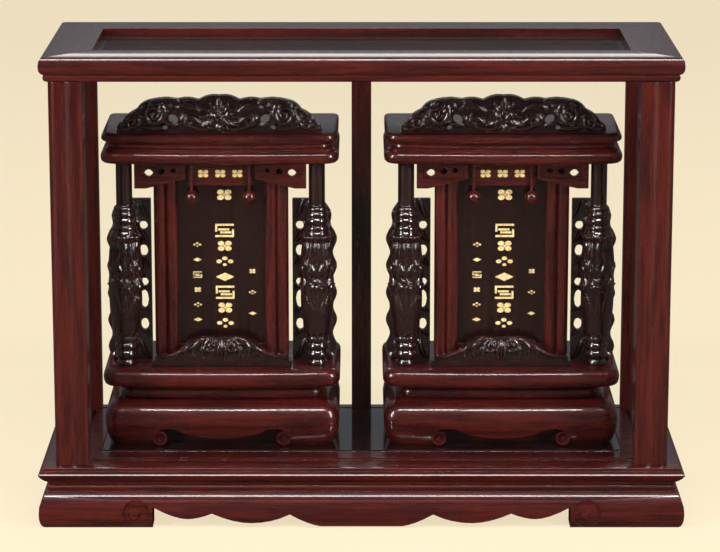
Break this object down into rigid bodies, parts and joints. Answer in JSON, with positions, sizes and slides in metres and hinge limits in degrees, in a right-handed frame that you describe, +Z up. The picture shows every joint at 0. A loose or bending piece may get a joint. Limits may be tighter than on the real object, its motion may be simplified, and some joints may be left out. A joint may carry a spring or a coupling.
{
  "type": "ancestor shrine",
  "caption": "Glazed rosewood case on a scroll-footed plinth holding two carved ancestor tablet shrines, with sliding front panes and lift-out face plates.",
  "frame": {"origin": "on the floor under the middle of the case", "axes": "+X to the viewer's right along the case, +Y to the back, +Z up"},
  "size_m": [0.788, 0.306, 0.58],
  "materials": {
    "rosewood": "glossy red-brown lacquered rosewood",
    "dark_lacquer": "glossy near-black lacquer over carved wood",
    "glass": "clear polished float glass",
    "pale_wood": "plain unlacquered wood",
    "gold": "gold leaf"
  },
  "bodies": {
    "case": {"plinth_front": "rosewood", "plinth_back": "rosewood", "plinth_left": "rosewood", "plinth_right": "rosewood", "base_board": "rosewood", "floor_panel": "rosewood", "front_post_left": "rosewood", "front_post_right": "rosewood", "rear_post_left": "rosewood", "rear_post_right": "rosewood", "rear_post_center": "rosewood", "top_rail_front": "rosewood", "top_rail_back": "rosewood", "top_rail_left": "rosewood", "top_rail_right": "rosewood", "top_glass": "glass", "side_glass_left": "glass", "side_glass_right": "glass", "rear_glass_left": "glass", "rear_glass_right": "glass", "left_shrine_plinth": "rosewood", "left_waist": "rosewood", "left_deck": "rosewood", "left_cornice": "rosewood", "left_crest": "dark_lacquer", "left_column_l": "dark_lacquer", "left_column_r": "dark_lacquer", "left_wing_l": "dark_lacquer", "left_wing_r": "dark_lacquer", "left_bracket_l": "rosewood", "left_bracket_r": "rosewood", "left_plaque": "rosewood", "left_pendant_l": "rosewood", "left_pendant_r": "rosewood", "left_tablet_foot": "dark_lacquer", "left_tablet_frame": "dark_lacquer", "left_slip_box": "dark_lacquer", "left_name_slips": "pale_wood", "right_shrine_plinth": "rosewood", "right_waist": "rosewood", "right_deck": "rosewood", "right_cornice": "rosewood", "right_crest": "dark_lacquer", "right_column_l": "dark_lacquer", "right_column_r": "dark_lacquer", "right_wing_l": "dark_lacquer", "right_wing_r": "dark_lacquer", "right_bracket_l": "rosewood", "right_bracket_r": "rosewood", "right_plaque": "rosewood", "right_pendant_l": "rosewood", "right_pendant_r": "rosewood", "right_tablet_foot": "dark_lacquer", "right_tablet_frame": "dark_lacquer", "right_slip_box": "dark_lacquer", "right_name_slips": "pale_wood"},
    "front_pane_left": {"front_pane_left": "glass"},
    "front_pane_right": {"front_pane_right": "glass"},
    "left_face_plate": {"left_face_plate": "dark_lacquer"},
    "right_face_plate": {"right_face_plate": "dark_lacquer"}
  },
  "joints": [
    {"name": "front_pane_left_slide", "type": "slide", "parent": "case", "child": "front_pane_left", "axis": [1, 0, 0], "range_m": [0, 0.31]},
    {"name": "front_pane_right_slide", "type": "slide", "parent": "case", "child": "front_pane_right", "axis": [-1, 0, 0], "range_m": [0, 0.31]},
    {"name": "left_face_plate_lift", "type": "slide", "parent": "case", "child": "left_face_plate", "axis": [0, 0, 1], "range_m": [0, 0.008]},
    {"name": "right_face_plate_lift", "type": "slide", "parent": "case", "child": "right_face_plate", "axis": [0, 0, 1], "range_m": [0, 0.008]}
  ]
}
